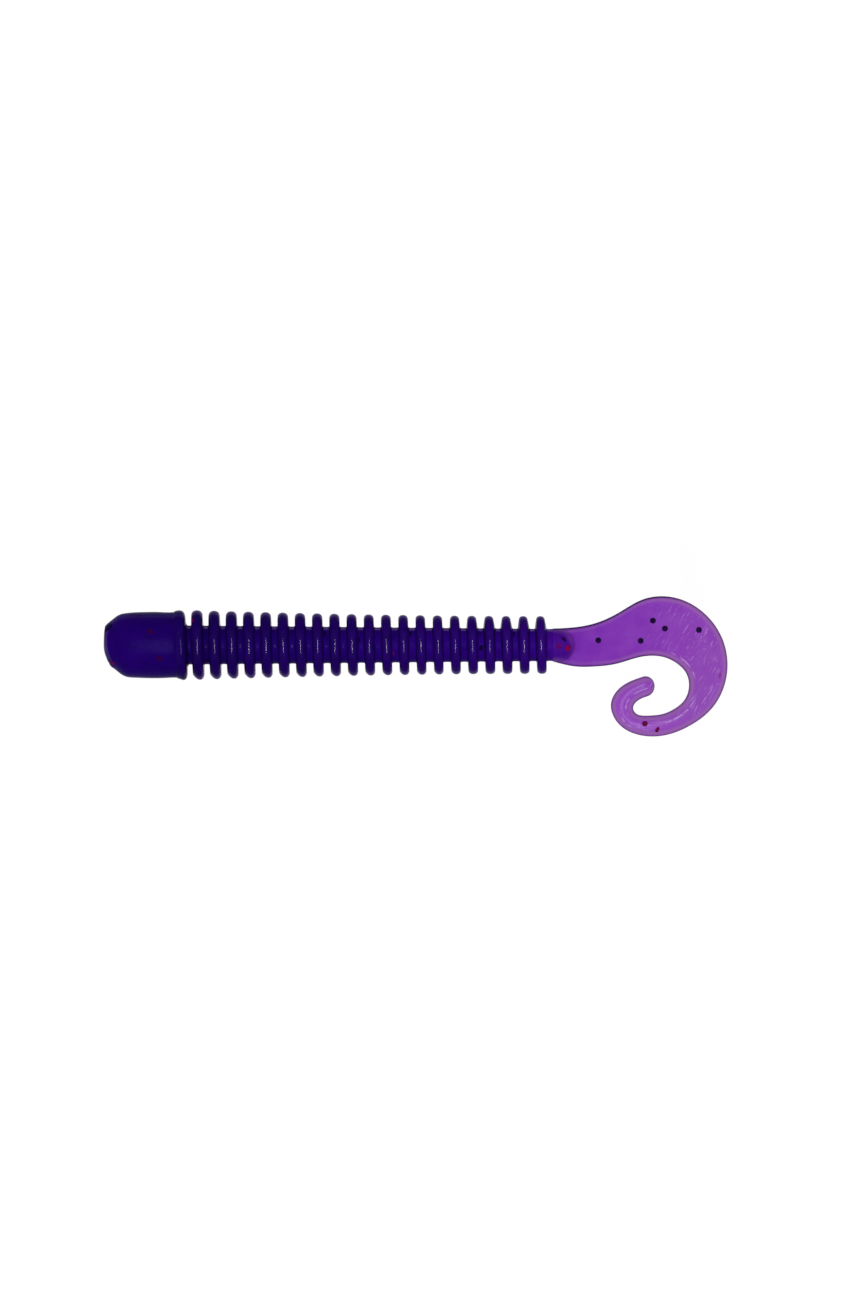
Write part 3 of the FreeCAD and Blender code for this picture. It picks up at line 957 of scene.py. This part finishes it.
# ------------------------------------------------------------------------- glitter flakes

# A flake is a hexagon, this far from its middle to a corner, sunk a little into the skin.
FLAKE_SIDES = 6
FLAKE_CORNER = 0.35
FLAKE_THICKNESS = 0.05
FLAKE_BEVEL = 0.03
FLAKE_SINK = 0.015
# Half the distance over which a skin's slope is taken under a flake.
SLOPE_REACH = 0.02
# Skins that flakes lie on: the first ring's rim, and a web's waist below its full radius.
RING_SIDE_RADIUS = 3.42
WEB_FLAKE_DEPTH = 0.04


def flake_mesh(spots):
    """Points and faces of bevelled hexagons, in millimetres.  Each spot is a matrix and
    how narrow the flake looks there."""
    layers = (
        (-FLAKE_THICKNESS, FLAKE_CORNER),
        (0.0, FLAKE_CORNER),
        (FLAKE_BEVEL, FLAKE_CORNER - FLAKE_BEVEL),
    )
    points, faces = [], []
    for place, narrow in spots:
        base = len(points)
        for height, corner in layers:
            for step in range(FLAKE_SIDES):
                angle = 2 * math.pi / FLAKE_SIDES * step
                along, across = corner * math.cos(angle), corner * math.sin(angle) * narrow
                points.append(place @ Vector((along, across, height)))
        faces.append(tuple(base + step for step in range(FLAKE_SIDES - 1, -1, -1)))
        for layer in range(len(layers) - 1):
            near = base + layer * FLAKE_SIDES
            far = near + FLAKE_SIDES
            for step in range(FLAKE_SIDES):
                after = (step + 1) % FLAKE_SIDES
                faces.append((near + step, near + after, far + after, far + step))
        top = base + (len(layers) - 1) * FLAKE_SIDES
        faces.append(tuple(top + step for step in range(FLAKE_SIDES)))
    return points, faces


def flake_piece(name, spots, material):
    """One piece of flakes, not yet on a body."""
    points, faces = flake_mesh(spots)
    mesh = bpy.data.meshes.new(name)
    mesh.from_pydata([tuple(point * MM) for point in points], [], faces)
    mesh.validate()
    add_rest(mesh)
    mesh.materials.append(material)
    piece = bpy.data.objects.new(name, mesh)
    bpy.context.scene.collection.objects.link(piece)
    return piece


def head_skin(along, across):
    """Height of the head's skin, from where each of its circles passes that far across."""
    heights, places = [], []
    for x_up, height, x_down, depth in head_rows():
        radius = (height + depth) / 2
        share = (across - (height - depth) / 2) / radius
        if abs(share) < 1:
            up = (1 + share) / 2
            places.append(x_up * up + x_down * (1 - up))
            heights.append(radius * math.sqrt(1 - share ** 2))
    return float(np.interp(along, places, heights))


def spot(along, across, height, turn=0, narrow=1.0, lift=0.0):
    """Where a flake lies on the skin, seen from above at (along, across): height gives
    the skin's height there, and the flake lies square to the skin."""
    reach = SLOPE_REACH
    rise_x = (height(along + reach, across) - height(along - reach, across)) / (2 * reach)
    rise_y = (height(along, across + reach) - height(along, across - reach)) / (2 * reach)
    normal = Vector((-rise_x, -rise_y, 1)).normalized()
    place = Vector((along, across, height(along, across))) + normal * (lift - FLAKE_SINK)
    tilt = Vector((0, 0, 1)).rotation_difference(normal).to_matrix().to_4x4()
    spin = Matrix.Rotation(math.radians(turn), 4, "Z")
    return Matrix.Translation(place) @ tilt @ spin, narrow


def round_skin(radius):
    """Height of a round skin of this radius."""
    return lambda along, across: math.sqrt(max(radius ** 2 - across ** 2, 0.01))


def root_skin(along, across):
    """Height of the root's domed core."""
    core_radius = web_facts(RING_COUNT + 1)[2]
    return float(core_height(np.array(along), np.array(across), core_radius))


def tail_spot(along, across, turn=0, narrow=1.0, height=PLATE_HEIGHT):
    """A flake on the flat tail: along and across in percent as for the ribs."""
    x = tail_origin() + along * TAIL_REACH / 100
    y = across * CURL_HEIGHT / 100
    return spot(x, y, lambda _x, _y: height, turn, narrow)


def place_flakes():
    """Every flake, in pieces by the body that holds them."""
    start = tail_origin()
    ring = round_skin(RING_SIDE_RADIUS)
    web = {}
    for number in range(1, RING_COUNT + 2):
        web[number] = round_skin(web_facts(number)[2] - WEB_FLAKE_DEPTH)
    # Name, body, CAD node if it has one, material, and where the flakes lie.
    pieces = (
        ("glitter_head", "head", "flakes_head", DULL_RED_GLITTER, (
            spot(4.82, 1.38, head_skin, 20),
            spot(5.79, -1.39, head_skin, 50),
            spot(3.60, 2.95, head_skin, 5, 0.5),
        )),
        ("glitter_nose_red", "head", None, DARK_RED_GLITTER, (
            spot(0.95, -1.85, head_skin, 20, 0.8),
        )),
        ("glitter_nose_dark", "head", None, DULL_BLACK_GLITTER, (
            spot(0.66, 1.86, head_skin, 40, 1.0, 0.03),
            spot(0.42, 1.62, head_skin, 40, 0.7, 0.02),
        )),
        ("glitter_ring_01", "head", None, DARK_RED_GLITTER, (
            spot(9.16, 2.52, ring, 80, 0.5, 0.04),
        )),
        ("glitter_collar", "head", None, DULL_BLACK_GLITTER, (
            spot(8.45, -1.00, web[1], 30, 0.8),
            spot(10.60, -1.60, web[2], 10, 0.8),
        )),
        ("glitter_ring_08", "ring_08", None, DULL_BLACK_GLITTER, (
            spot(22.50, 1.15, web[9], 85, 0.45),
        )),
        ("glitter_ring_10", "ring_10", None, DULL_BLACK_GLITTER, (
            spot(25.98, 0.48, web[11], 85, 0.45),
        )),
        ("glitter_ring_12", "ring_12", None, DARK_RED_GLITTER, (
            spot(29.42, -0.93, web[13], 80, 0.6),
        )),
        ("glitter_ring_13", "ring_13", None, DULL_BLACK_GLITTER, (
            spot(31.20, 1.16, web[14], 85, 0.45),
        )),
        ("glitter_ring_17", "ring_17", None, DULL_BLACK_GLITTER, (
            spot(38.42, -0.30, web[18], 80, 0.7),
        )),
        ("glitter_ring_19", "ring_19", None, DULL_BLACK_GLITTER, (
            spot(41.72, 1.12, web[20], 85, 0.40),
        )),
        ("glitter_root", "tail_root", "flakes_root", WINE_GLITTER, (
            spot(start + 0.60, -0.10, root_skin, 25),
        )),
        ("glitter_root_red", "tail_root", None, RED_GLITTER, (
            spot(start + 1.52, -0.34, root_skin, 40, 1.0, 0.03),
        )),
        ("glitter_root_dark", "tail_root", None, BLACK_GLITTER, (
            spot(start + 1.08, 0.57, root_skin, -47, 0.42, 0.10),
        )),
        ("glitter_blade", "tail_blade", "flakes_blade", BLACK_GLITTER, (
            tail_spot(25.9, 3.3, 10),
            tail_spot(50.1, 3.0, 35),
            tail_spot(57.1, 17.5, 20),
            tail_spot(64.0, 11.8, 50),
        )),
        ("glitter_bow", "tail_bow", "flakes_bow", BLACK_GLITTER, (
            tail_spot(83.4, 10.8, 5),
        )),
        ("glitter_bow_faint", "tail_bow", None, FAINT_GLITTER, (
            tail_spot(95.4, -21.8, 80, 0.45),
        )),
        ("glitter_arm_faint", "tail_arm", None, FAINT_GLITTER, (
            tail_spot(86.5, -42.9, 55, 0.35),
        )),
        ("glitter_hook", "tail_hook", "flakes_hook", DARK_RED_GLITTER, (
            tail_spot(59.6, -60.6, 60, 0.6, ROD_HEIGHT * 0.98),
            tail_spot(52.5, -56.4, 0, 0.9, ROD_HEIGHT),
        )),
    )
    for name, body, node, material, spots in pieces:
        piece = flake_piece(name, spots, material)
        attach(piece, body)
        if node:
            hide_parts(node)


place_flakes()


# ------------------------------------------------------------------- floor, light, camera

# Metres.  The view's height is what the picture shows from top to bottom at the worm's middle.
CAMERA_HEIGHT = 0.90
VIEW_HEIGHT = 0.1313
VIEW_CENTRE = (0.03297, 0.0)
SENSOR_MM = 36.0
LAMP_HEIGHT = 1.3
LAMP_OFFSET = -0.12
LAMP_SIZE = (0.06, 1.30)
LAMP_RADIANCE = 80.0
WORLD_STRENGTH = 0.22
SURROUND_RADIUS = 3.0
SURROUND_SIDES = 64
WALL_HEIGHT = 1.2
# The floor lies this far under the worm, which then clears it when it bends down.
FLOOR_DROP = 0.043
# Greys of the surround: under its glow where it is seen, and where it only lights the worm.
SEEN_GREY = 0.10
LIGHTING_GREY = 0.60
SEEN_GLOW = 0.92


def stage_piece(name, points, faces, material):
    """A part of the white surround, which is no part of the worm."""
    mesh = bpy.data.meshes.new(name)
    mesh.from_pydata(points, [], faces)
    mesh.materials.append(material)
    piece = bpy.data.objects.new(name, mesh)
    bpy.context.scene.collection.objects.link(piece)


def white_surround():
    """White where it is seen straight, mirrored or through something, with the worm's
    shadow; a plain grey that lights the worm from the sides otherwise."""
    material = bpy.data.materials.new("surround")
    material.use_nodes = True
    nodes, links = material.node_tree.nodes, material.node_tree.links
    nodes.remove(nodes["Principled BSDF"])
    seen, real = nodes.new("ShaderNodeBsdfDiffuse"), nodes.new("ShaderNodeBsdfDiffuse")
    glow, total = nodes.new("ShaderNodeEmission"), nodes.new("ShaderNodeAddShader")
    chosen = nodes.new("ShaderNodeMixShader")
    seen.inputs["Color"].default_value = (SEEN_GREY, SEEN_GREY, SEEN_GREY, 1)
    real.inputs["Color"].default_value = (LIGHTING_GREY, LIGHTING_GREY, LIGHTING_GREY, 1)
    glow.inputs["Color"].default_value = (1, 1, 1, 1)
    glow.inputs["Strength"].default_value = SEEN_GLOW
    links.new(seen.outputs[0], total.inputs[0])
    links.new(glow.outputs[0], total.inputs[1])
    links.new(shown_ray(material.node_tree), chosen.inputs["Fac"])
    links.new(real.outputs[0], chosen.inputs[1])
    links.new(total.outputs[0], chosen.inputs[2])
    links.new(chosen.outputs[0], nodes["Material Output"].inputs["Surface"])
    return material


def shown_ray(tree):
    """1 for a ray that shows the background: straight, mirrored or seen through."""
    ray = tree.nodes.new("ShaderNodeLightPath")
    first = tree.nodes.new("ShaderNodeMath")
    second = tree.nodes.new("ShaderNodeMath")
    first.operation = second.operation = "MAXIMUM"
    tree.links.new(ray.outputs["Is Camera Ray"], first.inputs[0])
    tree.links.new(ray.outputs["Is Glossy Ray"], first.inputs[1])
    tree.links.new(first.outputs[0], second.inputs[0])
    tree.links.new(ray.outputs["Is Transmission Ray"], second.inputs[1])
    return second.outputs[0]


def make_surround(height):
    """A round white floor under the worm with a low white wall round it."""
    material = white_surround()
    rim = []
    for step in range(SURROUND_SIDES):
        angle = 2 * math.pi * step / SURROUND_SIDES
        rim.append((SURROUND_RADIUS * math.cos(angle), SURROUND_RADIUS * math.sin(angle)))
    low = [(x, y, height) for x, y in rim]
    high = [(x, y, height + WALL_HEIGHT) for x, y in rim]
    stage_piece("floor", low, [tuple(range(SURROUND_SIDES))], material)
    wall = []
    for step in range(SURROUND_SIDES):
        after = (step + 1) % SURROUND_SIDES
        wall.append((step, after, SURROUND_SIDES + after, SURROUND_SIDES + step))
    stage_piece("wall", low + high, wall, material)


def make_world():
    """Plain dim light from all round."""
    world = bpy.data.worlds.new("studio")
    bpy.context.scene.world = world
    world.use_nodes = True
    background = world.node_tree.nodes["Background"]
    background.inputs["Color"].default_value = (1, 1, 1, 1)
    background.inputs["Strength"].default_value = WORLD_STRENGTH


def make_lamp():
    """One softbox overhead, narrow along the worm and long across it."""
    lamp = bpy.data.lights.new("softbox", "AREA")
    lamp.shape = "ELLIPSE"
    lamp.size, lamp.size_y = LAMP_SIZE
    area = math.pi / 4 * LAMP_SIZE[0] * LAMP_SIZE[1]
    lamp.energy = LAMP_RADIANCE * math.pi * area
    placed = bpy.data.objects.new("softbox", lamp)
    placed.location = (VIEW_CENTRE[0], LAMP_OFFSET, LAMP_HEIGHT)
    bpy.context.scene.collection.objects.link(placed)


def make_camera():
    """Straight down on the worm, from far enough away that it hardly tapers."""
    camera = bpy.data.cameras.new("camera")
    camera.sensor_fit = "VERTICAL"
    camera.sensor_height = SENSOR_MM
    camera.lens = SENSOR_MM * CAMERA_HEIGHT / VIEW_HEIGHT
    placed = bpy.data.objects.new("camera", camera)
    placed.location = (*VIEW_CENTRE, CAMERA_HEIGHT)
    bpy.context.scene.collection.objects.link(placed)
    bpy.context.scene.camera = placed


make_surround(cad_box[0][2] - FLOOR_DROP)
make_world()
make_lamp()
make_camera()
bpy.context.scene.view_settings.view_transform = "Standard"
